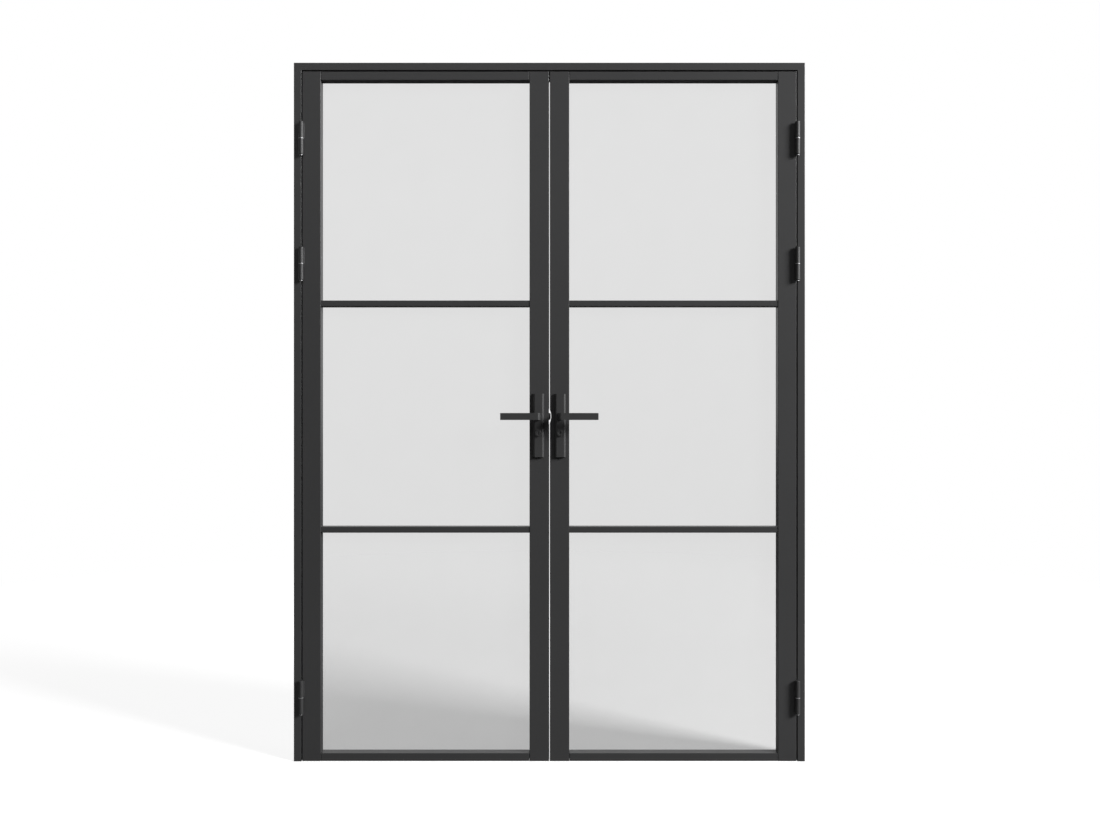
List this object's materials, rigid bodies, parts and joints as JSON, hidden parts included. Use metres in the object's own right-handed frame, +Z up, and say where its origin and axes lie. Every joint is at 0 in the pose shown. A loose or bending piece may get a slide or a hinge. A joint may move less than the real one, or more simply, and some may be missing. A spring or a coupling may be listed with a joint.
{
  "type": "french doors",
  "caption": "Pair of glazed steel french doors in a slim frame, with barrel hinges, lever handles, key cylinders, a latch, a deadbolt and flush bolts.",
  "frame": {"origin": "on the floor, in the middle of the pair's width and of the leaves' thickness", "axes": "+Z up, +X to the right seen from the hinge side, +Y from the viewer through the doorway"},
  "size_m": [1.5, 0.16, 2.05],
  "materials": {
    "frame_paint": "satin",
    "hardware": "satin",
    "steel": "satin",
    "glass": "polished",
    "rubber": "matte"
  },
  "bodies": {
    "frame": {"left_jamb": "frame_paint", "right_jamb": "frame_paint", "head": "frame_paint", "left_stop": "frame_paint", "right_stop": "frame_paint", "head_stop": "frame_paint", "frame_seal": "rubber", "left_frame_knuckles": "hardware", "right_frame_knuckles": "hardware", "left_hinge_pins": "steel", "right_hinge_pins": "steel", "left_hinge_rings": "steel", "right_hinge_rings": "steel"},
    "left_leaf": {"left_hinge_stile": "frame_paint", "left_meeting_stile": "frame_paint", "left_top_rail": "frame_paint", "left_bottom_rail": "frame_paint", "left_upper_bar": "frame_paint", "left_lower_bar": "frame_paint", "left_upper_pane": "glass", "left_middle_pane": "glass", "left_lower_pane": "glass", "left_glazing_beads": "frame_paint", "left_glazing_tapes": "rubber", "left_leaf_knuckles": "hardware", "left_front_plate": "hardware", "left_rear_plate": "hardware", "left_plate_screws": "steel", "left_cylinder": "hardware", "left_lock_case": "steel"},
    "left_plug": {"left_cylinder_plug": "hardware"},
    "left_handle": {"left_front_lever": "hardware", "left_rear_lever": "hardware", "left_spindle": "steel"},
    "left_latch": {"left_latch_bolt": "steel"},
    "left_bolt": {"left_deadbolt": "steel"},
    "right_leaf": {"right_hinge_stile": "frame_paint", "right_meeting_stile": "frame_paint", "right_top_rail": "frame_paint", "right_bottom_rail": "frame_paint", "right_upper_bar": "frame_paint", "right_lower_bar": "frame_paint", "right_upper_pane": "glass", "right_middle_pane": "glass", "right_lower_pane": "glass", "right_glazing_beads": "frame_paint", "right_glazing_tapes": "rubber", "right_leaf_knuckles": "hardware", "right_front_plate": "hardware", "right_rear_plate": "hardware", "right_plate_screws": "steel", "right_cylinder": "hardware", "right_keep": "steel"},
    "right_plug": {"right_cylinder_plug": "hardware"},
    "right_handle": {"right_front_lever": "hardware", "right_rear_lever": "hardware", "right_spindle": "steel"},
    "right_upper_flush": {"right_top_bolt": "steel"},
    "right_lower_flush": {"right_bottom_bolt": "steel"}
  },
  "joints": [
    {"name": "left_leaf_swing", "type": "hinge", "parent": "frame", "child": "left_leaf", "pos_m": [-0.7265, -0.0335, 0.189], "axis": [0, 0, -1], "range_deg": [0, 170]},
    {"name": "right_leaf_swing", "type": "hinge", "parent": "frame", "child": "right_leaf", "pos_m": [0.7265, -0.0335, 0.189], "axis": [0, 0, 1], "range_deg": [0, 170]},
    {"name": "left_lever_turn", "type": "hinge", "parent": "left_leaf", "child": "left_handle", "pos_m": [-0.0318, 0, 1.012], "axis": [0, -1, 0], "range_deg": [0, 45], "stiffness_Nm_per_rad": 1.2, "springref_deg": -34.38},
    {"name": "right_lever_turn", "type": "hinge", "parent": "right_leaf", "child": "right_handle", "pos_m": [0.0318, 0, 1.012], "axis": [0, 1, 0], "range_deg": [0, 45], "stiffness_Nm_per_rad": 1.2, "springref_deg": -34.38},
    {"name": "left_latch_slide", "type": "slide", "parent": "left_leaf", "child": "left_latch", "axis": [-1, 0, 0], "range_m": [0, 0.0055]},
    {"name": "left_plug_turn", "type": "hinge", "parent": "left_leaf", "child": "left_plug", "pos_m": [-0.0318, 0, 0.964], "axis": [0, 1, 0], "range_deg": [0, 360]},
    {"name": "left_deadbolt_slide", "type": "slide", "parent": "left_leaf", "child": "left_bolt", "axis": [1, 0, 0], "range_m": [0, 0.012]},
    {"name": "right_plug_turn", "type": "hinge", "parent": "right_leaf", "child": "right_plug", "pos_m": [0.0318, 0, 0.964], "axis": [0, 1, 0], "range_deg": [0, 360]},
    {"name": "right_top_bolt_slide", "type": "slide", "parent": "right_leaf", "child": "right_upper_flush", "axis": [0, 0, 1], "range_m": [0, 0.015]},
    {"name": "right_bottom_bolt_slide", "type": "slide", "parent": "right_leaf", "child": "right_lower_flush", "axis": [0, 0, -1], "range_m": [0, 0.015]}
  ],
  "couplings": [
    {"joint": "left_latch_slide", "follows": "left_lever_turn", "m_per_rad": 0.007},
    {"joint": "left_deadbolt_slide", "follows": "left_plug_turn", "m_per_rad": 0.0019}
  ]
}
